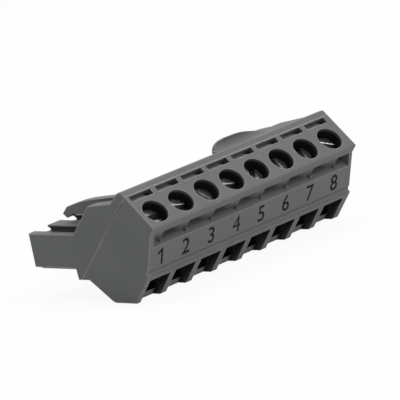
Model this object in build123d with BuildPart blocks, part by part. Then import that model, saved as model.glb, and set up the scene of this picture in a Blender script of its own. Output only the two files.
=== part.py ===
from build123d import *
from math import atan2, cos, degrees, radians, sin, tan
import os

os.makedirs("parts", exist_ok=True)

# A plug-in screw terminal strip: a row of wire clamps with screws at 45 degrees to the plug.
# X runs along the poles, +Y points out of the plug end and +Z is up.
# The origin is in the plug end face, on the line of the header pins.

# Poles
pole_count = 8
pitch = 5.08
left_margin = 2.61
right_margin = 3.25
pole_xs = [(i - (pole_count - 1) / 2) * pitch for i in range(pole_count)]
strip_left = pole_xs[0] - left_margin
strip_right = pole_xs[-1] + right_margin
strip_length = strip_right - strip_left

# Screw face, whose top edge is set from the origin. The clamp block is measured from that edge:
# up the slope of the face, and in depth below the face
face_angle = 45
block_depth = 12.8
corner_rise = 8.5
face_length = 6.6
lip_thickness = 1.4
joint_inset = 0.2

# Numbered face, bead and wire face under the lip
number_face_lean = 20.9
number_face_run = 5.4
bead_bulge = 0.28
wire_face_setback = 9.4
wire_face_top = 7.0
wire_face_bottom = 12.4
wire_face_flare = 0.35
foot_length = 4.55
foot_slope = 37
heel_rise = 3.15
heel_back = 8.4
foot_front_radius = 0.35
foot_back_radius = 1.4

# Screw guides
guide_radius = 1.93
guide_up_slope = -3.99
guide_wall = 0.45
collar_depth = 3.7
collar_thickness = 0.7
collar_hole_radius = 1.6

# Recess between the lip and the numbered face
recess_height = 1.85
recess_reach = 3.9
end_wall = 0.72
peg_radius = 0.28
peg_height = 0.35
peg_up_slope = -6.8

# Test slots behind the screw guides
slot_width = 4.2
slot_front = 1.36
slot_back = 0.4
slot_shallow = 0.08
slot_deep = 0.85
probe_width = 1.12
probe_depth = 3.3

# Clamp chamber and wire opening
pole_wall = 1.08
opening_width = pitch - pole_wall
opening_top_margin = 0.8
opening_height = 4.1
lower_lip_setback = 0.85
funnel_width = 3.0
chamber_half_length = 2.4
chamber_floor_gap = 0.15

# Current bar, cage and screw, all in depth below the screw face
bar_depth = 8.3
bar_thickness = 0.8
bar_width = 2.5
wire_gap = 3.1
cage_play = 0.1
cage_length = 4.6
cage_roof = 1.1
cage_floor = 0.9
cage_side = 0.38
cage_corner = 0.45
screw_head_depth = 2.1
screw_head_radius = 1.85
screw_shank_radius = 1.45
screw_thread_play = 0.06
screw_side_play = 0.07
driver_slot_width = 0.75
driver_slot_depth = 0.85
driver_slot_angles = [62, 70, 18, 55, 100, 38, 112, 78]
screw_head_chamfer = 0.2
screw_end_gap = 0.1

# Plug that goes on the header
plug_length = 8.3
plug_top = 2.8
plug_bottom = -2.1
plug_side = 1.3
plug_step = 0.7
heel_draft = 0.15

# Rail behind the screw face, and the shoulder that slopes down to the plug
rail_width = 0.72
rail_depth = 0.85
rail_fall = 0.16
shoulder_rise = 6.95
shoulder_inset = 5.05
shoulder_length = 4.65
shoulder_drop = 0.43
seam_gap = 0.18
seam_start = 1.2
seam_end = 8.0
seam_reach = 0.45

# Coding ribs on the plug, undercut on both sides, and low keels below the pins
rib_flange_width = 2.5
rib_flange_thickness = 0.18
rib_undercut = 0.45
rib_stem_width = 1.6
rib_rise = 1.6
rib_length = 7.05
keel_width = 4.2
keel_height = 0.4
keel_length = 8.5

# Pin ports and socket cavities
port_mouth = 2.3
port_width = 1.8
port_depth = 0.9
socket_width = 2.9
socket_inset = 0.2

# Bosses that reach into the chambers and locate the two mouldings
boss_width = 3.8
boss_reach = 1.48
boss_play = 0.1
boss_bar_gap = 0.7

# Contact strip, from the clamp down to the socket that grips the header pin
contact_front = -5.9
contact_crest = -1.0
contact_drop_inset = 4.2
contact_bend = 0.8
contact_play = 0.05
web_gap = 0.2
web_thickness = 0.4
web_height = 2.3
leaf_thickness = 0.35
leaf_pinch = 0.42
leaf_pinch_back = 2.6
leaf_mouth = 0.78
leaf_mouth_back = 1.1
leaf_bend = 1.5

# Snap hooks, one at each end of the plug, each on an arm that stands above the shoulder
hook_inset = 2.2
hook_width = 1.8
hook_arm_rise = 0.38
hook_thickness = 1.8
hook_straight = 1.4
hook_reach = 7.75
hook_tip_drop = 1.79
hook_nose_length = 1.1
hook_nose_rise = 1.0
hook_barb = 0.6
hook_barb_length = 0.75
hook_catch_length = 2.0

# Grip ledge behind the rail, with a curved grip on its back edge
ledge_start = 20.2
ledge_end = 38.15
ledge_reach = 2.05
ledge_corner = 1.5
ledge_taper = 2.95
grip_start = 21.1
grip_length = 10.4
grip_height = 1.1
grip_outline = [(0.04, 0.5), (0.15, 0.92), (0.33, 1), (0.55, 0.92), (0.81, 0.42)]
grip_thickness = 1.1
grip_hollow = 0.75

edge_break = 0.12

# Distances from the plug end
corner_back = plug_length + block_depth
shoulder_back = plug_length + shoulder_inset
socket_back = plug_length - socket_inset
web_back = socket_back - web_gap


def clamp_point(up_slope, depth):
    """A point of the side view (Y, Z), from its place up the screw face and its depth below it."""
    tilt = radians(face_angle)
    y = -corner_back + up_slope * cos(tilt) + depth * sin(tilt)
    z = corner_rise + up_slope * sin(tilt) - depth * cos(tilt)
    return (y, z)


def face_plane(x, depth=0.0):
    """The plane of the screw face at a pole, sunk by a depth. Its own Y runs up the slope."""
    y, z = clamp_point(0, depth)
    tilt = radians(face_angle)
    return Plane(origin=(x, y, z), x_dir=(1, 0, 0), z_dir=(0, -sin(tilt), cos(tilt)))


def side_plane(x):
    """The plane of the side view at a place along the poles, with its normal along +X."""
    return Plane.YZ.offset(x)


def axis_plane(x):
    """The plane through a screw's axis and along the poles. Its own Y points out of the face."""
    y, z = clamp_point(guide_up_slope, 0)
    tilt = radians(face_angle)
    return Plane(origin=(x, y, z), x_dir=(1, 0, 0), z_dir=(0, -cos(tilt), -sin(tilt)))


def nearest(vertices, point):
    """The vertex of a side-view sketch that lies at a point."""
    return vertices.sort_by_distance(Vector(point[0], point[1], 0))[0]


def on_joint(edge):
    """Whether an edge lies in the joint between the two mouldings."""
    middle = edge @ 0.5
    tilt = radians(face_angle)
    up_slope = (middle.Y + corner_back) * cos(tilt) + (middle.Z - corner_rise) * sin(tilt)
    return abs(up_slope + joint_inset) < edge_break / 10


# Shared places in the side view
lip_corner = clamp_point(-face_length, lip_thickness)
number_top = lip_thickness + recess_height
bead_top = (
    lip_corner[0] + number_face_run * sin(radians(number_face_lean)),
    lip_corner[1] - number_face_run * cos(radians(number_face_lean)),
)
bead_bottom = clamp_point(-wire_face_setback, wire_face_top)
wire_face_foot = clamp_point(-wire_face_setback, wire_face_bottom)
foot_front = (wire_face_foot[0] - wire_face_flare, wire_face_foot[1])
foot_back = (foot_front[0] + foot_length, foot_front[1])
heel_level = foot_front[1] + heel_rise
heel_front = (foot_back[0] + heel_rise / tan(radians(foot_slope)), heel_level)
joint_top = clamp_point(-joint_inset, 0)
joint_bottom = (joint_top[0] + (joint_top[1] - heel_level) / tan(radians(face_angle)), heel_level)
chamber_front = guide_up_slope - chamber_half_length
chamber_back = guide_up_slope + chamber_half_length
chamber_roof = collar_depth + collar_thickness
opening_top = wire_face_top + opening_top_margin
bar_underside = bar_depth + bar_thickness
bar_middle = bar_depth + bar_thickness / 2
cage_top = bar_depth - cage_play - cage_roof
cage_height = cage_roof + cage_play + bar_thickness + wire_gap + cage_floor
cage_inside = 2 * (screw_shank_radius + screw_side_play)
cage_width = cage_inside + 2 * cage_side
chamber_floor = cage_top + cage_height + chamber_floor_gap
contact_path = [
    clamp_point(contact_front, bar_middle),
    clamp_point(contact_crest, bar_middle),
    (-plug_length - contact_drop_inset, 0),
    (-web_back, 0),
]

# Front moulding: the screw face, the numbered face and the chambers of the clamps
with BuildPart() as clamp_housing:
    with BuildSketch(side_plane(strip_left)) as block_side:
        with BuildLine():
            Polyline(joint_top, clamp_point(-face_length, 0), lip_corner, bead_top)
            SagittaArc(bead_top, bead_bottom, bead_bulge)
            Polyline(bead_bottom, foot_front, foot_back, heel_front, joint_bottom, joint_top)
        make_face()
        fillet(nearest(block_side.vertices(), foot_back), foot_back_radius)
        fillet(nearest(block_side.vertices(), foot_front), foot_front_radius)
        fillet(nearest(block_side.vertices(), clamp_point(-face_length, 0)), edge_break * 2)
        fillet(nearest(block_side.vertices(), lip_corner), edge_break * 2)
    extrude(amount=strip_length)

    # Recess under the lip, with the round walls of the screw guides standing in it
    with BuildSketch(face_plane(strip_left, lip_thickness)):
        with Locations((end_wall, -recess_reach)):
            Rectangle(
                strip_length - 2 * end_wall,
                face_length,
                align=(Align.MIN, Align.MAX),
            )
    extrude(amount=-recess_height, mode=Mode.SUBTRACT)
    for x in pole_xs:
        with BuildSketch(face_plane(x, lip_thickness)):
            with Locations((0, guide_up_slope)):
                Circle(guide_radius + guide_wall)
        extrude(amount=-recess_height)
        with BuildSketch(face_plane(x, number_top)):
            with Locations((0, peg_up_slope)):
                RegularPolygon(peg_radius, 8)
        extrude(amount=peg_height)

    for x in pole_xs:
        # Screw guide, with the collar that keeps the screw in
        with BuildSketch(face_plane(x)):
            with Locations((0, guide_up_slope)):
                Circle(guide_radius)
        extrude(amount=-collar_depth, mode=Mode.SUBTRACT)
        with BuildSketch(face_plane(x, collar_depth)):
            with Locations((0, guide_up_slope)):
                Circle(collar_hole_radius)
        extrude(amount=-collar_thickness, mode=Mode.SUBTRACT)

        # Chamber of the cage, open to the joint with the rear moulding
        with BuildSketch(face_plane(x, chamber_roof)):
            with Locations((0, chamber_front)):
                Rectangle(
                    opening_width,
                    -joint_inset - chamber_front,
                    align=(Align.CENTER, Align.MIN),
                )
        extrude(amount=chamber_roof - chamber_floor, mode=Mode.SUBTRACT)

        # Wire opening: a step that sets the lower lip back, then a funnel to the chamber
        with BuildSketch(face_plane(x, opening_top)):
            with Locations((0, -wire_face_setback + lower_lip_setback)):
                Rectangle(opening_width, wire_face_setback, align=(Align.CENTER, Align.MAX))
        extrude(amount=-2 * opening_height, mode=Mode.SUBTRACT)
        mouth = clamp_point(-wire_face_setback + lower_lip_setback, 0)
        throat = clamp_point(chamber_front, 0)
        slope = radians(face_angle)
        along = (0, cos(slope), sin(slope))
        with BuildSketch(Plane(origin=(x, mouth[0], mouth[1]), x_dir=(1, 0, 0), z_dir=along)):
            with Locations((0, opening_top)):
                Rectangle(opening_width, opening_height, align=(Align.CENTER, Align.MIN))
        with BuildSketch(Plane(origin=(x, throat[0], throat[1]), x_dir=(1, 0, 0), z_dir=along)):
            with Locations((0, bar_underside)):
                Rectangle(funnel_width, wire_gap - cage_play, align=(Align.CENTER, Align.MIN))
        loft(mode=Mode.SUBTRACT)

        # Test slot with a sloping floor, and the deep probe hole at its right end
        with BuildSketch(side_plane(x - slot_width / 2)):
            with BuildLine():
                Polyline(
                    clamp_point(-slot_back, -edge_break),
                    clamp_point(-slot_front, -edge_break),
                    clamp_point(-slot_front, slot_shallow),
                    clamp_point(-slot_back, slot_deep),
                    close=True,
                )
            make_face()
        extrude(amount=slot_width, mode=Mode.SUBTRACT)
        with BuildSketch(face_plane(x)):
            with Locations((slot_width / 2, -slot_front)):
                Rectangle(probe_width, slot_front - slot_back, align=(Align.MAX, Align.MIN))
        extrude(amount=-probe_depth, mode=Mode.SUBTRACT)

    end_faces = clamp_housing.faces().filter_by(Axis.X).sort_by(Axis.X)
    for end_face in (end_faces[0], end_faces[-1]):
        chamfer([edge for edge in end_face.outer_wire().edges() if not on_joint(edge)], edge_break)

    # The joint gapes a little at both ends, most near the top
    with BuildSketch(side_plane(strip_left), side_plane(strip_right - seam_reach)):
        with BuildLine():
            Polyline(
                clamp_point(-joint_inset, seam_start),
                clamp_point(-joint_inset - seam_gap, seam_start),
                clamp_point(-joint_inset, seam_end),
                close=True,
            )
        make_face()
    extrude(amount=seam_reach, mode=Mode.SUBTRACT)

clamp_housing.part.label = "clamp_housing"
export_step(clamp_housing.part, "parts/clamp_housing.step")

# Rear moulding: the rail behind the screw face, the shoulder, the plug and what stands on it
rail_top = clamp_point(rail_width, 0)
rail_back = (rail_top[0] + rail_depth, rail_top[1] - rail_fall)
shoulder_end = (-shoulder_back, shoulder_rise)
shoulder_start = (-shoulder_back - shoulder_length, shoulder_rise + shoulder_drop)
plug_root = (-shoulder_back + shoulder_rise - plug_top, plug_top)
plug_floor = plug_top - plug_step

with BuildPart() as plug_housing:
    with BuildSketch(side_plane(strip_left)):
        with BuildLine():
            Polyline(
                joint_top,
                rail_top,
                rail_back,
                shoulder_start,
                shoulder_end,
                plug_root,
                (0, plug_top),
                (0, plug_bottom),
                (-plug_length, plug_bottom),
                (-plug_length - heel_draft, heel_level),
                joint_bottom,
                close=True,
            )
        make_face()
    extrude(amount=strip_length)
    end_faces = plug_housing.faces().filter_by(Axis.X).sort_by(Axis.X)
    for end_face in (end_faces[0], end_faces[-1]):
        chamfer([edge for edge in end_face.outer_wire().edges() if not on_joint(edge)], edge_break)

    # The top of the plug is sunk between its two side walls
    with BuildSketch(side_plane(strip_left + plug_side)):
        with BuildLine():
            Polyline(
                (plug_root[0] + plug_step, plug_floor),
                (plug_step, plug_floor),
                (plug_step, plug_top + plug_step),
                (plug_root[0] - plug_step, plug_top + plug_step),
                close=True,
            )
        make_face()
    extrude(amount=strip_length - 2 * plug_side, mode=Mode.SUBTRACT)

    # Coding ribs above the pins, shaped like rails, and keels below them
    rib_start = plug_root[0] - plug_step
    flange_under = rib_rise - rib_flange_thickness
    with BuildSketch(Plane.XZ.offset(-rib_start)):
        with Locations((0, plug_floor)):
            with GridLocations(pitch, 1, pole_count, 1):
                Polygon(
                    (-rib_stem_width / 2, 0),
                    (rib_stem_width / 2, 0),
                    (rib_stem_width / 2, flange_under - rib_undercut),
                    (rib_flange_width / 2, flange_under),
                    (rib_flange_width / 2, rib_rise),
                    (-rib_flange_width / 2, rib_rise),
                    (-rib_flange_width / 2, flange_under),
                    (-rib_stem_width / 2, flange_under - rib_undercut),
                    align=None,
                )
    extrude(amount=-rib_length)
    with BuildSketch(Plane.XY.offset(plug_bottom)):
        with Locations((0, -plug_length - keel_height + keel_length / 2)):
            with GridLocations(pitch, 1, pole_count, 1):
                Rectangle(keel_width, keel_length)
    extrude(amount=-keel_height, taper=45)

    # Snap hooks, whose arms run back over the shoulder to the rail and curve down to the barbs
    hook_under = shoulder_rise - hook_thickness
    hook_tip = (shoulder_end[0] + hook_reach, shoulder_rise - hook_tip_drop)
    hook_nose = (hook_tip[0] - hook_nose_length, hook_tip[1] + hook_nose_rise)
    arm_fall = shoulder_drop / shoulder_length
    arm_front = shoulder_end[0] + hook_straight
    arm_level = shoulder_rise + hook_arm_rise
    hook_left = strip_left + hook_inset
    hook_right = strip_right - hook_inset - hook_width
    with BuildSketch(side_plane(hook_left), side_plane(hook_right)):
        with BuildLine():
            arm_back = (rail_back[0], arm_level + (shoulder_end[0] - rail_back[0]) * arm_fall)
            hook_arm = Line(arm_back, (arm_front, arm_level - hook_straight * arm_fall))
            TangentArc(hook_arm @ 1, hook_nose, tangent=hook_arm % 1)
            Polyline(
                hook_nose,
                hook_tip,
                (hook_tip[0] - hook_barb_length, hook_under - hook_barb),
                (hook_tip[0] - hook_catch_length, hook_under),
                (shoulder_end[0], hook_under),
                shoulder_end,
                (rail_back[0], shoulder_start[1]),
                arm_back,
            )
        make_face()
    extrude(amount=hook_width)

    # Grip ledge behind the rail, and the grip that stands on it with a hollowed front
    ledge_level = rail_back[1]
    ledge_left = strip_left + ledge_start
    ledge_right = strip_left + ledge_end
    grip_back = rail_back[0] + ledge_reach
    with BuildSketch(Plane.XY.offset(ledge_level)) as ledge_plan:
        with BuildLine():
            Polyline(
                (ledge_left, rail_back[0]),
                (ledge_left, grip_back),
                (ledge_right - ledge_taper, grip_back),
                (ledge_right, rail_back[0]),
                close=True,
            )
        make_face()
        fillet(nearest(ledge_plan.vertices(), (ledge_left, grip_back)), ledge_corner)
    extrude(amount=shoulder_start[1] - ledge_level)
    grip_left = strip_left + grip_start
    with BuildSketch(Plane.XZ.offset(-grip_back)):
        with BuildLine():
            Spline(
                (grip_left, ledge_level),
                *[(grip_left + a * grip_length, ledge_level + b * grip_height) for a, b in grip_outline],
                (grip_left + grip_length, ledge_level),
            )
            Line((grip_left + grip_length, ledge_level), (grip_left, ledge_level))
        make_face()
    extrude(amount=grip_thickness)
    with BuildSketch(side_plane(grip_left)):
        with Locations((grip_back - grip_thickness, ledge_level + grip_hollow)):
            Circle(grip_hollow)
    extrude(amount=grip_length, mode=Mode.SUBTRACT)

    # Pin ports in the plug end, opening into the cavities of the sockets
    with BuildSketch(Plane.XZ):
        with GridLocations(pitch, 1, pole_count, 1):
            Rectangle(port_mouth, port_mouth)
    port_taper = degrees(atan2((port_mouth - port_width) / 2, port_depth))
    extrude(amount=port_depth, taper=port_taper, mode=Mode.SUBTRACT)
    with BuildSketch(Plane.XZ.offset(port_depth)):
        with GridLocations(pitch, 1, pole_count, 1):
            Rectangle(socket_width, socket_width)
    extrude(amount=socket_back - port_depth, mode=Mode.SUBTRACT)

    # Locating bosses, and the channels through which the contact strips reach the sockets
    boss_top = chamber_roof + boss_play
    with BuildSketch(*[face_plane(x, boss_top) for x in pole_xs]):
        with Locations((0, -joint_inset)):
            Rectangle(boss_width, 2 * boss_reach)
    extrude(amount=boss_top + boss_bar_gap - bar_depth)
    with BuildSketch(*[side_plane(x - bar_width / 2 - contact_play) for x in pole_xs]):
        with BuildLine():
            FilletPolyline(*contact_path, radius=contact_bend)
        trace(line_width=bar_thickness + 2 * contact_play)
    extrude(amount=bar_width + 2 * contact_play, mode=Mode.SUBTRACT)

plug_housing.part.label = "plug_housing"
export_step(plug_housing.part, "parts/plug_housing.step")

# Clamp screws: a slotted cheese head that rests on the collar, and a shank that ends above the bar
screw_end = bar_depth - screw_end_gap
for number, x in enumerate(pole_xs, start=1):
    with BuildPart() as clamp_screw:
        with BuildSketch(axis_plane(x)):
            with BuildLine():
                Polyline(
                    (0, -screw_head_depth),
                    (screw_head_radius - screw_head_chamfer, -screw_head_depth),
                    (screw_head_radius, -screw_head_depth - screw_head_chamfer),
                    (screw_head_radius, -collar_depth),
                    (screw_shank_radius, -collar_depth),
                    (screw_shank_radius, -screw_end),
                    (0, -screw_end),
                    close=True,
                )
            make_face()
        revolve(axis=Axis(axis_plane(x).origin, axis_plane(x).y_dir))
        with BuildSketch(face_plane(x, screw_head_depth)):
            with Locations((0, guide_up_slope)):
                Rectangle(
                    3 * screw_head_radius,
                    driver_slot_width,
                    rotation=driver_slot_angles[number - 1],
                )
        extrude(amount=-driver_slot_depth, mode=Mode.SUBTRACT)
    clamp_screw.part.label = f"clamp_screw_{number}"
    export_step(clamp_screw.part, f"parts/clamp_screw_{number}.step")

# Clamp cages: a band that the screw lifts, so that its floor presses the wire against the bar
for number, x in enumerate(pole_xs, start=1):
    with BuildPart() as clamp_cage:
        with BuildSketch(axis_plane(x)) as cage_band:
            with Locations((0, -cage_top - cage_height / 2)):
                Rectangle(cage_width, cage_height)
                chamfer(cage_band.vertices(), cage_corner)
            with Locations((0, -cage_top - cage_roof)):
                Rectangle(
                    cage_inside,
                    cage_height - cage_roof - cage_floor,
                    align=(Align.CENTER, Align.MAX),
                    mode=Mode.SUBTRACT,
                )
        extrude(amount=cage_length / 2, both=True)
        with BuildSketch(face_plane(x, cage_top)):
            with Locations((0, guide_up_slope)):
                Circle(screw_shank_radius + screw_thread_play)
        extrude(amount=-cage_roof, mode=Mode.SUBTRACT)
    clamp_cage.part.label = f"clamp_cage_{number}"
    export_step(clamp_cage.part, f"parts/clamp_cage_{number}.step")

# Contacts: a strip that runs through the cage and down to a socket of two bowed leaves
leaf_root = web_height / 2 - leaf_thickness / 2
for number, x in enumerate(pole_xs, start=1):
    with BuildPart() as contact:
        with BuildSketch(side_plane(x - bar_width / 2)):
            with BuildLine():
                FilletPolyline(*contact_path, radius=contact_bend)
            trace(line_width=bar_thickness)
            with Locations((-web_back + web_thickness / 2, 0)):
                Rectangle(web_thickness, web_height)
            for side in (1, -1):
                with BuildLine():
                    FilletPolyline(
                        (-web_back + web_thickness / 2, side * leaf_root),
                        (-leaf_pinch_back, side * (leaf_pinch + leaf_thickness / 2)),
                        (-leaf_mouth_back, side * (leaf_mouth + leaf_thickness / 2)),
                        radius=leaf_bend,
                    )
                trace(line_width=leaf_thickness)
        extrude(amount=bar_width)
    contact.part.label = f"contact_{number}"
    export_step(contact.part, f"parts/contact_{number}.step")
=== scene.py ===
import bpy
from math import cos, pi, radians, sin, sqrt
from mathutils import Matrix, Vector


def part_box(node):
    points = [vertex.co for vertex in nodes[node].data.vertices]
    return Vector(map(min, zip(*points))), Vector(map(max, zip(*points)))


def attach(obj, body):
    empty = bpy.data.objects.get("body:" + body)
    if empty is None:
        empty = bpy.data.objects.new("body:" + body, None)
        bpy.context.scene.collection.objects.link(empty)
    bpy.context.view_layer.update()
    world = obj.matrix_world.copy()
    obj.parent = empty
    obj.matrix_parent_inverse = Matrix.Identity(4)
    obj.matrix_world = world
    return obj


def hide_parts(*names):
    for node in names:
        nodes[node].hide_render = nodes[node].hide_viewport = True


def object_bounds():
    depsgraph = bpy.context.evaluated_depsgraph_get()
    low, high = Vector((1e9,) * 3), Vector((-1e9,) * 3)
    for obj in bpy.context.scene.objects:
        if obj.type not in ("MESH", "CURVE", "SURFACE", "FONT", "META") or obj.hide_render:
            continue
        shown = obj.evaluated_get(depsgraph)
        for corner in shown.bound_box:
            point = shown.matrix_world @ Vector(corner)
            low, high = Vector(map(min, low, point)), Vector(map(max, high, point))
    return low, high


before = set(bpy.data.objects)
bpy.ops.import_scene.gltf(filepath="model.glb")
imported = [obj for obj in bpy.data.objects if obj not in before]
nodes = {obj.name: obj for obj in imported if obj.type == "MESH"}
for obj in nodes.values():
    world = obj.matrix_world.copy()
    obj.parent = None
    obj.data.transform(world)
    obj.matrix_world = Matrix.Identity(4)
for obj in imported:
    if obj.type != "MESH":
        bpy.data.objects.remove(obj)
cad_low, cad_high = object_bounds()
pole_count = sum(name.startswith("clamp_screw_") for name in nodes)


# The view of the strip. A long lens looks down on it from the front left, and is turned
# a little about its own axis, so that the row of poles climbs to the right.
def add_object(name, data):
    """A new object in the scene, at the origin."""
    thing = bpy.data.objects.new(name, data)
    bpy.context.scene.collection.objects.link(thing)
    return thing


camera_data = bpy.data.cameras.new("strip_camera")
camera_data.sensor_width = 36
camera_data.lens = 360
camera_data.clip_start = 0.05
camera_data.clip_end = 10
camera_place = Vector((-0.37609, -0.41614, 0.11884))
view_right = Vector((0.68676, -0.69969, -0.19694))
view_up = Vector((0.28618, 0.01122, 0.95811))
view_back = Vector((-0.66817, -0.71436, 0.20795))
view_turn = Matrix((view_right, view_up, view_back)).transposed().to_4x4()
camera = add_object("strip_camera", camera_data)
camera.matrix_world = Matrix.Translation(camera_place) @ view_turn
bpy.context.scene.camera = camera
bpy.context.scene.view_settings.view_transform = "Standard"


# The table under the strip. A plain white sheet that keeps a faint shadow below the body
# and otherwise shows as white paper, to the eye and in polished metal.
def link(tree, source, output, target, socket):
    tree.links.new(source.outputs[output], target.inputs[socket])


def shown_white(tree, shader, white_share):
    """Mixes a shader with plain white light for the eye and for mirrors in metal."""
    path = tree.nodes.new("ShaderNodeLightPath")
    either = tree.nodes.new("ShaderNodeMath")
    either.operation = "MAXIMUM"
    share = tree.nodes.new("ShaderNodeMath")
    share.operation = "MULTIPLY"
    share.inputs[1].default_value = white_share
    white = tree.nodes.new("ShaderNodeEmission")
    mix = tree.nodes.new("ShaderNodeMixShader")
    link(tree, path, "Is Camera Ray", either, 0)
    link(tree, path, "Is Glossy Ray", either, 1)
    link(tree, either, 0, share, 0)
    link(tree, share, 0, mix, 0)
    link(tree, shader, 0, mix, 1)
    link(tree, white, 0, mix, 2)
    return mix


floor_half_width = 1.2
floor_gap = 0.00002
floor_corners = [
    (side_x * floor_half_width, side_y * floor_half_width, cad_low.z - floor_gap)
    for side_x, side_y in ((-1, -1), (1, -1), (1, 1), (-1, 1))
]
floor_mesh = bpy.data.meshes.new("table_top")
floor_mesh.from_pydata(floor_corners, [], [(0, 1, 2, 3)])
table_top = add_object("table_top", floor_mesh)
paper = bpy.data.materials.new("white_paper")
paper.use_nodes = True
paper_surface = paper.node_tree.nodes["Principled BSDF"]
paper_surface.inputs["Base Color"].default_value = (0.86, 0.86, 0.86, 1)
paper_surface.inputs["Roughness"].default_value = 0.9
paper_mix = shown_white(paper.node_tree, paper_surface, 0.93)
link(paper.node_tree, paper_mix, 0, paper.node_tree.nodes["Material Output"], "Surface")
floor_mesh.materials.append(paper)

# The light. A broad soft sky, and two large lamps that are a little warmer, one in front and
# one above, so that the rail and the screw face come out lighter than the other faces.
world = bpy.data.worlds.new("studio_sky")
bpy.context.scene.world = world
world.use_nodes = True
sky = world.node_tree.nodes["Background"]
sky.inputs["Color"].default_value = (0.6, 0.63, 0.65, 1)
sky.inputs["Strength"].default_value = 0.395
world_mix = shown_white(world.node_tree, sky, 1.0)
link(world.node_tree, world_mix, 0, world.node_tree.nodes["World Output"], "Surface")
strip_middle = Vector((0, -0.012, 0))


def add_lamp(name, place, size, power, colour):
    """A square area lamp that points at the middle of the strip."""
    lamp_data = bpy.data.lights.new(name, "AREA")
    lamp_data.color = colour
    lamp_data.size = size
    lamp_data.energy = power
    lamp = add_object(name, lamp_data)
    lamp.location = place
    lamp.rotation_mode = "QUATERNION"
    lamp.rotation_quaternion = (strip_middle - Vector(place)).to_track_quat("-Z", "Y")


add_lamp("front_lamp", (0.12, -0.5, 0.5), 0.35, 2.25, (1.0, 0.985, 0.96))
add_lamp("top_lamp", (0.0, 0.1, 0.7), 0.5, 2.85, (1.0, 0.97, 0.92))


# The two mouldings. Both are glass-filled polyamide in mid grey, moulded with a fine spark
# finish, and the rear one snaps on behind the clamp block. Edges are a little rounded, outer
# edges are painted lighter as rubbed and as a highlight, and chambers and guides get painted
# shade.
def add_node(tree, kind, **inputs):
    """A node of a kind, with some of its inputs set. An underscore stands for a space."""
    node = tree.nodes.new(kind)
    for name, value in inputs.items():
        node.inputs[name.replace("_", " ")].default_value = value
    return node


def add_group(tree, group):
    """The node in a material that stands for a shader node group."""
    node = tree.nodes.new("ShaderNodeGroup")
    node.node_tree = group
    return node


def add_socket(tree, name, way, kind, value=None):
    """An input or output of a node group, with the value it has when nothing is given."""
    socket = tree.interface.new_socket(name=name, in_out=way, socket_type=kind)
    if value is not None:
        socket.default_value = value


def feed(tree, socket, term):
    """Gives an input socket what it works on, which is an output socket or a plain value."""
    if isinstance(term, bpy.types.NodeSocket):
        tree.links.new(term, socket)
    else:
        socket.default_value = term


def maths(tree, operation, *terms):
    """A maths step whose terms are output sockets or plain numbers."""
    step = tree.nodes.new("ShaderNodeMath")
    step.operation = operation
    for socket, term in zip(step.inputs, terms):
        feed(tree, socket, term)
    return step.outputs[0]


def value_range(tree, value, low, high, to_low, to_high):
    """A value carried from one range to another, and held at its ends."""
    step = add_node(
        tree, "ShaderNodeMapRange", From_Min=low, From_Max=high, To_Min=to_low, To_Max=to_high
    )
    feed(tree, step.inputs["Value"], value)
    return step.outputs[0]


def colour_mix(tree, share, first, second):
    """A blend from one colour to another, each an output socket or red, green and blue."""
    mix = tree.nodes.new("ShaderNodeMix")
    mix.data_type = "RGBA"
    feed(tree, mix.inputs["Factor"], share)
    for name, colour in (("A", first), ("B", second)):
        plain = not isinstance(colour, bpy.types.NodeSocket)
        feed(tree, mix.inputs[name], (*colour, 1) if plain else colour)
    return mix.outputs["Result"]


def make_spark_finish():
    """Fine moulded grain as a height, and a slow change of tone over the moulding."""
    group = bpy.data.node_groups.new("spark_finish", "ShaderNodeTree")
    add_socket(group, "Grain Size", "INPUT", "NodeSocketFloat", 9000)
    add_socket(group, "Tone Size", "INPUT", "NodeSocketFloat", 160)
    add_socket(group, "Height", "OUTPUT", "NodeSocketFloat")
    add_socket(group, "Tone", "OUTPUT", "NodeSocketFloat")
    given = group.nodes.new("NodeGroupInput")
    result = group.nodes.new("NodeGroupOutput")
    place = group.nodes.new("ShaderNodeTexCoord")
    grain = add_node(group, "ShaderNodeTexNoise", Detail=3, Roughness=0.6)
    tone = add_node(group, "ShaderNodeTexNoise", Detail=4, Roughness=0.55)
    link(group, place, "Object", grain, "Vector")
    link(group, place, "Object", tone, "Vector")
    link(group, given, "Grain Size", grain, "Scale")
    link(group, given, "Tone Size", tone, "Scale")
    link(group, grain, 0, result, "Height")
    link(group, tone, 0, result, "Tone")
    return group


def make_edge_wear():
    """Rounded edges as a normal, a mask for outer edges that are painted lighter as rubbed and
    as a highlight, and how open a place is.
    """
    group = bpy.data.node_groups.new("edge_wear_and_highlight", "ShaderNodeTree")
    add_socket(group, "Edge Radius", "INPUT", "NodeSocketFloat", 0.00018)
    add_socket(group, "Hollow Depth", "INPUT", "NodeSocketFloat", 0.006)
    add_socket(group, "Normal", "OUTPUT", "NodeSocketVector")
    add_socket(group, "Rubbed Highlight", "OUTPUT", "NodeSocketFloat")
    add_socket(group, "Open", "OUTPUT", "NodeSocketFloat")
    given = group.nodes.new("NodeGroupInput")
    result = group.nodes.new("NodeGroupOutput")
    rounding = group.nodes.new("ShaderNodeBevel")
    rounding.samples = 6
    link(group, given, "Edge Radius", rounding, "Radius")
    flat = group.nodes.new("ShaderNodeNewGeometry")
    facing = group.nodes.new("ShaderNodeVectorMath")
    facing.operation = "DOT_PRODUCT"
    link(group, rounding, 0, facing, 0)
    link(group, flat, "True Normal", facing, 1)
    hollow = group.nodes.new("ShaderNodeAmbientOcclusion")
    hollow.samples = 12
    hollow.only_local = True
    link(group, given, "Hollow Depth", hollow, "Distance")
    bent = value_range(group, facing.outputs["Value"], 0.995, 0.93, 0.0, 1.0)
    outer = value_range(group, hollow.outputs["AO"], 0.72, 0.95, 0.0, 1.0)
    link(group, rounding, 0, result, "Normal")
    feed(group, result.inputs["Rubbed Highlight"], maths(group, "MULTIPLY", bent, outer))
    link(group, hollow, "AO", result, "Open")
    return group


screw_axis_foot = Vector((0, -0.0239213, 0.0056787))
face_angle = radians(45)
pole_pitch = 0.00508


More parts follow.
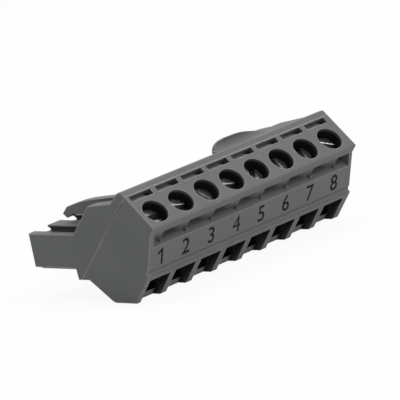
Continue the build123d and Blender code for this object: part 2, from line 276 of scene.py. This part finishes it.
def make_pole_axis():
    """The distance from the nearest screw's axis, and the depth below the screw face."""
    group = bpy.data.node_groups.new("pole_axis", "ShaderNodeTree")
    add_socket(group, "Pitch", "INPUT", "NodeSocketFloat", pole_pitch)
    add_socket(group, "Radius", "OUTPUT", "NodeSocketFloat")
    add_socket(group, "Depth", "OUTPUT", "NodeSocketFloat")
    pitch = group.nodes.new("NodeGroupInput").outputs["Pitch"]
    result = group.nodes.new("NodeGroupOutput")
    place = group.nodes.new("ShaderNodeTexCoord")
    parts = group.nodes.new("ShaderNodeSeparateXYZ")
    link(group, place, "Object", parts, 0)
    x, y, z = parts.outputs

    def calc(operation, *terms):
        return maths(group, operation, *terms)

    poles_along = calc("FRACT", calc("DIVIDE", x, pitch))
    across = calc("MULTIPLY", calc("SUBTRACT", poles_along, 0.5), pitch)
    back = calc("SUBTRACT", y, screw_axis_foot.y)
    rise = calc("SUBTRACT", z, screw_axis_foot.z)
    up_slope = calc("MULTIPLY", calc("ADD", back, rise), cos(face_angle))
    depth = calc("MULTIPLY", calc("SUBTRACT", back, rise), sin(face_angle))
    square = calc("ADD", calc("POWER", across, 2), calc("POWER", up_slope, 2))
    feed(group, result.inputs["Radius"], calc("SQRT", square))
    feed(group, result.inputs["Depth"], depth)
    return group


spark_finish = make_spark_finish()
edge_wear_and_highlight = make_edge_wear()
pole_axis = make_pole_axis()
# Where painted shade goes: on the walls of each screw guide, full from guide_dark_from below the
# screw face, and in the chambers from chamber_start to chamber_full down, where the place is
# closed in.
guide_wall_radius = 0.00195
guide_dark_from = 0.0006
chamber_start = 0.0033
chamber_full = 0.0048
fresh_grey = (0.112, 0.118, 0.118)
pale_grey = (0.126, 0.132, 0.131)
# Outer edges are painted this lighter grey, as rubbed edges and as a painted highlight; the
# painted shade in chambers and guides is near black.
rubbed_highlight_grey = (0.35, 0.352, 0.345)
painted_shade_grey = (0.009, 0.009, 0.008)


def make_polyamide(name, open_at, closed_at):
    """The grey plastic, with painted shade in its chambers as Open falls from open_at to
    closed_at, and down its screw guides.
    """
    material = bpy.data.materials.new(name)
    material.use_nodes = True
    tree = material.node_tree
    surface = tree.nodes["Principled BSDF"]
    finish = add_group(tree, spark_finish)
    wear_and_highlight = add_group(tree, edge_wear_and_highlight)
    axis = add_group(tree, pole_axis)
    depth = axis.outputs["Depth"]
    tone = value_range(tree, finish.outputs["Tone"], 0.3, 0.7, 0.0, 1.0)
    body = colour_mix(tree, tone, fresh_grey, pale_grey)
    # Outer edges painted lighter, as rubbed edges and as a painted highlight
    edged = colour_mix(tree, wear_and_highlight.outputs["Rubbed Highlight"], body, rubbed_highlight_grey)
    closed = value_range(tree, wear_and_highlight.outputs["Open"], open_at, closed_at, 0.0, 1.0)
    in_chamber = value_range(tree, depth, chamber_start, chamber_full, 0.0, 1.0)
    above_chamber = value_range(tree, depth, chamber_start, chamber_full, 1.0, 0.0)
    in_guide = maths(tree, "LESS_THAN", axis.outputs["Radius"], guide_wall_radius)
    down_guide = value_range(tree, depth, 0.0, guide_dark_from, 0.0, 1.0)
    guide_length = maths(tree, "MULTIPLY", down_guide, above_chamber)
    guide_painted_shade = maths(tree, "MULTIPLY", in_guide, guide_length)
    # Painted shade: closed-in chambers and the walls of the screw guides go near black
    painted_shade = maths(tree, "MAXIMUM", maths(tree, "MULTIPLY", closed, in_chamber), guide_painted_shade)
    rough = value_range(tree, finish.outputs["Height"], 0.2, 0.8, 0.5, 0.66)
    shine = value_range(tree, painted_shade, 0.0, 1.0, 0.4, 0.08)
    feed(tree, surface.inputs["Base Color"], colour_mix(tree, painted_shade, edged, painted_shade_grey))
    feed(tree, surface.inputs["Roughness"], rough)
    feed(tree, surface.inputs["Specular IOR Level"], shine)
    bump = add_node(tree, "ShaderNodeBump", Strength=0.25, Distance=0.00002)
    link(tree, finish, "Height", bump, "Height")
    link(tree, wear_and_highlight, "Normal", bump, "Normal")
    link(tree, bump, 0, surface, "Normal")
    return material


for name, open_at, closed_at in (("clamp_housing", 0.72, 0.55), ("plug_housing", 0.5, 0.1)):
    moulding = nodes[name].data
    moulding.materials.clear()
    moulding.materials.append(make_polyamide(name + "_polyamide", open_at, closed_at))


# Clamp screws. Nickel-plated steel, turned on a lathe, with a slotted cheese head and a rolled
# thread. Each is dropped into its guide until the head rests on the collar.
def make_plated_metal(name, colour, roughness, scratch_size):
    """Plated steel or copper, whose fine scratches change its tint, gloss and height."""
    material = bpy.data.materials.new(name)
    material.use_nodes = True
    tree = material.node_tree
    surface = tree.nodes["Principled BSDF"]
    surface.inputs["Metallic"].default_value = 1
    place = tree.nodes.new("ShaderNodeTexCoord")
    scratches = add_node(
        tree, "ShaderNodeTexNoise", Scale=scratch_size, Detail=5, Roughness=0.7
    )
    link(tree, place, "Object", scratches, "Vector")
    dull = [0.72 * part for part in colour]
    smoothest, roughest = roughness * 0.75, roughness * 1.3
    rough = value_range(tree, scratches.outputs[0], 0.2, 0.8, smoothest, roughest)
    tint = colour_mix(tree, scratches.outputs[0], dull, colour)
    feed(tree, surface.inputs["Base Color"], tint)
    feed(tree, surface.inputs["Roughness"], rough)
    bump = add_node(tree, "ShaderNodeBump", Strength=0.06, Distance=0.00001)
    link(tree, scratches, 0, bump, "Height")
    link(tree, bump, 0, surface, "Normal")
    return material


def add_lathe_rings(material, ring_count):
    """Fine rings about each screw's axis, as left by the turning tool, laid over the bump."""
    tree = material.node_tree
    surface = tree.nodes["Principled BSDF"]
    radius = add_group(tree, pole_axis).outputs["Radius"]
    rings = add_node(tree, "ShaderNodeTexNoise", Detail=2)
    rings.noise_dimensions = "1D"
    feed(tree, rings.inputs["W"], maths(tree, "MULTIPLY", radius, ring_count))
    grooves = add_node(tree, "ShaderNodeBump", Strength=0.06, Distance=0.00002)
    link(tree, rings, 0, grooves, "Height")
    feed(tree, grooves.inputs["Normal"], surface.inputs["Normal"].links[0].from_socket)
    link(tree, grooves, 0, surface, "Normal")


head_vertices = 64
shank_vertices = 24
rings_per_turn = 6
head_overlap = 0.0001
tolerance = 0.00001


def make_screw_tree():
    """Turns one screw about its Z axis, with the screw face at height 0 and the thread below."""
    tree = bpy.data.node_groups.new("clamp_screw_turning", "GeometryNodeTree")
    add_socket(tree, "Geometry", "OUTPUT", "NodeSocketGeometry")
    for name, value in (
        ("Head Radius", 0.00185),
        ("Head Depth", 0.00145),
        ("Head Bottom", 0.0037),
        ("Rim Chamfer", 0.00035),
        ("Shank Radius", 0.00145),
        ("Shank Bottom", 0.0082),
        ("Thread Pitch", 0.0005),
        ("Thread Depth", 0.00027),
        ("Point Chamfer", 0.0003),
        ("Slot Width", 0.00085),
        ("Slot Depth", 0.00085),
        ("Slot Chamfer", 0.00008),
        ("Slot Edge Slope", 1.0),
        ("Slot Angle", 0.0),
    ):
        add_socket(tree, name, "INPUT", "NodeSocketFloat", value)
    add_socket(tree, "Material", "INPUT", "NodeSocketMaterial")
    size = tree.nodes.new("NodeGroupInput").outputs
    result = tree.nodes.new("NodeGroupOutput")
    place = tree.nodes.new("GeometryNodeInputPosition")
    parts = tree.nodes.new("ShaderNodeSeparateXYZ")
    link(tree, place, 0, parts, 0)
    x, y, z = parts.outputs

    def calc(operation, *terms):
        return maths(tree, operation, *terms)

    def vector(*terms):
        joined = tree.nodes.new("ShaderNodeCombineXYZ")
        for socket, term in zip(joined.inputs, terms):
            feed(tree, socket, term)
        return joined.outputs[0]

    def scaled_xy(share):
        return vector(calc("MULTIPLY", x, share), calc("MULTIPLY", y, share), 0)

    def moved(shape, **terms):
        step = tree.nodes.new("GeometryNodeTransform")
        feed(tree, step.inputs["Geometry"], shape)
        for name, term in terms.items():
            feed(tree, step.inputs[name], term)
        return step.outputs[0]

    def shifted(shape, selection, offset):
        step = tree.nodes.new("GeometryNodeSetPosition")
        for name, term in (("Geometry", shape), ("Selection", selection), ("Offset", offset)):
            feed(tree, step.inputs[name], term)
        return step.outputs[0]

    # Head: a short cylinder whose rim is chamfered
    head = add_node(tree, "GeometryNodeMeshCylinder", Vertices=head_vertices, Side_Segments=2)
    head_height = calc("SUBTRACT", size["Head Bottom"], size["Head Depth"])
    feed(tree, head.inputs["Radius"], size["Head Radius"])
    feed(tree, head.inputs["Depth"], head_height)
    half_height = calc("MULTIPLY", head_height, 0.5)
    in_middle = calc("LESS_THAN", calc("ABSOLUTE", z), tolerance)
    ring_rise = calc("SUBTRACT", half_height, size["Rim Chamfer"])
    head_shape = shifted(head.outputs["Mesh"], in_middle, vector(0, 0, ring_rise))
    on_top = calc("GREATER_THAN", z, calc("SUBTRACT", half_height, tolerance))
    rim_share = calc("DIVIDE", calc("MULTIPLY", size["Rim Chamfer"], -1), size["Head Radius"])
    head_shape = shifted(head_shape, on_top, scaled_xy(rim_share))
    head_span = calc("ADD", size["Head Bottom"], size["Head Depth"])
    head_place = vector(0, 0, calc("MULTIPLY", head_span, -0.5))
    head_shape = moved(head_shape, Translation=head_place)

    # Slot: a straight cutter, and one that stands on its corner and chamfers the slot's edges
    slot_place = vector(0, 0, calc("MULTIPLY", size["Head Depth"], -1))
    slot_turn = vector(0, 0, size["Slot Angle"])
    long_side = calc("MULTIPLY", size["Head Radius"], 4)
    straight = tree.nodes.new("GeometryNodeMeshCube")
    slot_height = calc("MULTIPLY", size["Slot Depth"], 2)
    feed(tree, straight.inputs["Size"], vector(long_side, size["Slot Width"], slot_height))
    corner = tree.nodes.new("GeometryNodeMeshCube")
    half_width = calc("MULTIPLY", size["Slot Width"], 0.5)
    half_mouth = calc("ADD", half_width, size["Slot Chamfer"])
    corner_side = calc("MULTIPLY", half_mouth, sqrt(2))
    feed(tree, corner.inputs["Size"], vector(long_side, corner_side, corner_side))
    on_corner = moved(corner.outputs[0], Rotation=vector(pi / 4, 0, 0))
    on_corner = moved(on_corner, Scale=vector(1, 1, size["Slot Edge Slope"]))
    cut = tree.nodes.new("GeometryNodeMeshBoolean")
    cut.operation = "DIFFERENCE"
    cut.solver = "EXACT"
    feed(tree, cut.inputs["Mesh 1"], head_shape)
    for cutter in (straight.outputs[0], on_corner):
        placed = moved(cutter, Translation=slot_place, Rotation=slot_turn)
        feed(tree, cut.inputs["Mesh 2"], placed)

    # Shank: a cylinder drawn in between the crests of a helix, and tapered at its point
    shank = add_node(tree, "GeometryNodeMeshCylinder", Vertices=shank_vertices)
    top = calc("SUBTRACT", size["Head Bottom"], head_overlap)
    length = calc("SUBTRACT", size["Shank Bottom"], top)
    thread_turns = calc("DIVIDE", length, size["Thread Pitch"])
    rings = calc("ROUND", calc("MULTIPLY", thread_turns, rings_per_turn))
    feed(tree, shank.inputs["Side Segments"], rings)
    feed(tree, shank.inputs["Radius"], size["Shank Radius"])
    feed(tree, shank.inputs["Depth"], length)
    turned = calc("DIVIDE", calc("ARCTAN2", y, x), 2 * pi)
    phase = calc("SUBTRACT", calc("DIVIDE", z, size["Thread Pitch"]), turned)
    dip = calc("MULTIPLY", calc("PINGPONG", phase, 0.5), 2)
    above_point = calc("ADD", z, calc("MULTIPLY", length, 0.5))
    taper = calc("MAXIMUM", calc("SUBTRACT", size["Point Chamfer"], above_point), 0)
    inward = calc("ADD", calc("MULTIPLY", dip, size["Thread Depth"]), taper)
    thread_share = calc("MULTIPLY", calc("DIVIDE", inward, size["Shank Radius"]), -1)
    shank_shape = shifted(shank.outputs["Mesh"], True, scaled_xy(thread_share))
    shank_span = calc("ADD", top, size["Shank Bottom"])
    shank_place = vector(0, 0, calc("MULTIPLY", shank_span, -0.5))
    shank_shape = moved(shank_shape, Translation=shank_place)

    both = tree.nodes.new("GeometryNodeJoinGeometry")
    feed(tree, both.inputs[0], cut.outputs["Mesh"])
    feed(tree, both.inputs[0], shank_shape)
    real = tree.nodes.new("GeometryNodeRealizeInstances")
    finish = tree.nodes.new("GeometryNodeSetMaterial")
    link(tree, both, 0, real, 0)
    link(tree, real, 0, finish, "Geometry")
    feed(tree, finish.inputs["Material"], size["Material"])
    link(tree, finish, 0, result, 0)
    return tree


def grown_mesh(name, tree, settings):
    """The plain mesh that a Geometry Nodes tree gives with some of its inputs set."""
    carrier = add_object(name + "_carrier", bpy.data.meshes.new(name + "_carrier"))
    modifier = carrier.modifiers.new("shape", "NODES")
    modifier.node_group = tree
    for label, value in settings.items():
        modifier[tree.interface.items_tree[label].identifier] = value
    bpy.context.view_layer.update()
    graph = bpy.context.evaluated_depsgraph_get()
    shape = bpy.data.meshes.new_from_object(carrier.evaluated_get(graph))
    shape.name = name
    carrier.modifiers.remove(modifier)
    bpy.data.objects.remove(carrier)
    return shape


# The angle in degrees at which each screw was left, and how steep its slot's worn edges are
driver_slots = [
    (173, 1.1), (165, 0.6), (117, 1.4), (165, 0.6), (62, 1.0), (87, 1.2), (75, 1.2), (148, 0.6),
]
sharp_angle = radians(32)
nickel = make_plated_metal("nickel_plate", (0.56, 0.555, 0.54), 0.2, 2600)
add_lathe_rings(nickel, 16000)
screw_tree = make_screw_tree()
for number, (slot_angle, edge_slope) in enumerate(driver_slots, start=1):
    node_low, node_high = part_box(f"clamp_screw_{number}")
    place = screw_axis_foot + Vector(((node_low.x + node_high.x) / 2, 0, 0))
    settings = {
        "Slot Angle": radians(slot_angle),
        "Slot Edge Slope": edge_slope,
        "Material": nickel,
    }
    shape = grown_mesh(f"turned_screw_{number}", screw_tree, settings)
    shape.transform(Matrix.Translation(place) @ Matrix.Rotation(face_angle, 4, "X"))
    shape.shade_smooth()
    shape.set_sharp_from_angle(angle=sharp_angle)
    screw = add_object(f"turned_screw_{number}", shape)
    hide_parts(f"clamp_screw_{number}")
    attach(screw, f"clamp_screw_{number}")

# Cages and contacts. A cage is a zinc-plated steel band that the screw lifts, and a contact is
# stamped from tinned copper alloy and runs through the cage to the socket in the plug.
zinc = make_plated_metal("zinc_plate", (0.5, 0.5, 0.49), 0.4, 1500)
tin = make_plated_metal("tinned_copper_alloy", (0.56, 0.54, 0.5), 0.42, 1800)
for number in range(1, pole_count + 1):
    for name, metal in ((f"clamp_cage_{number}", zinc), (f"contact_{number}", tin)):
        nodes[name].data.materials.clear()
        nodes[name].data.materials.append(metal)

# Pole numbers. Black numerals pad-printed on the leaning face, one under each screw, with the
# ink standing a hundredth of a millimetre off the plastic. The 4 is printed a little thinner
# than the rest, so that its middle stays open.
number_lean = radians(20.9)
number_face_top = Vector((0, -0.024777, 0.002843))
number_drop = 0.00379
number_shift = -0.00036
numeral_height = 0.00245
numeral_stretch = 0.95
ink_spread = 0.009
four_ink_spread = -0.002
ink_lift = 0.00001
ink = bpy.data.materials.new("printing_ink")
ink.use_nodes = True
ink_surface = ink.node_tree.nodes["Principled BSDF"]
ink_noise = add_node(ink.node_tree, "ShaderNodeTexNoise", Scale=3000, Detail=3)
ink_place = ink.node_tree.nodes.new("ShaderNodeTexCoord")
link(ink.node_tree, ink_place, "Object", ink_noise, "Vector")
ink_rough = value_range(ink.node_tree, ink_noise.outputs[0], 0.2, 0.8, 0.6, 0.8)
feed(ink.node_tree, ink_surface.inputs["Roughness"], ink_rough)
ink_surface.inputs["Base Color"].default_value = (0.004, 0.004, 0.005, 1)
ink_surface.inputs["Specular IOR Level"].default_value = 0.15

one_outline = [
    (0, -0.5), (0.15, -0.5), (0.15, 0.5), (0.04, 0.5), (-0.28, 0.3), (-0.28, 0.14), (0, 0.29),
]


def printed_numeral(number):
    """A flat numeral from the built-in lettering, or the 1 with its long flag, drawn from listed
    points.
    """
    if number == 1:
        shape = bpy.data.meshes.new("numeral_1")
        shape.from_pydata([(x, y, 0) for x, y in one_outline], [], [range(len(one_outline))])
        return shape
    text = bpy.data.curves.new(f"numeral_{number}", "FONT")
    text.body = str(number)
    text.offset = four_ink_spread if number == 4 else ink_spread
    outline = add_object("outline", text)
    bpy.context.view_layer.update()
    graph = bpy.context.evaluated_depsgraph_get()
    shape = bpy.data.meshes.new_from_object(outline.evaluated_get(graph))
    bpy.data.objects.remove(outline)
    return shape


face_down = Vector((0, sin(number_lean), -cos(number_lean)))
face_out = Vector((0, -cos(number_lean), -sin(number_lean)))
for number in range(1, pole_count + 1):
    node_low, node_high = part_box(f"clamp_screw_{number}")
    shape = printed_numeral(number)
    xs = [v.co.x for v in shape.vertices]
    ys = [v.co.y for v in shape.vertices]
    scale = numeral_height / (max(ys) - min(ys))
    middle = Vector(((max(xs) + min(xs)) / 2, (max(ys) + min(ys)) / 2, 0))
    centre = number_face_top + face_down * number_drop + face_out * ink_lift
    centre.x = (node_low.x + node_high.x) / 2 + number_shift
    for v in shape.vertices:
        flat = (v.co - middle) * scale
        v.co = centre + Vector((flat.x * numeral_stretch, 0, 0)) - face_down * flat.y
    shape.materials.append(ink)
    numeral = add_object(f"numeral_{number}", shape)
    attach(numeral, "strip")
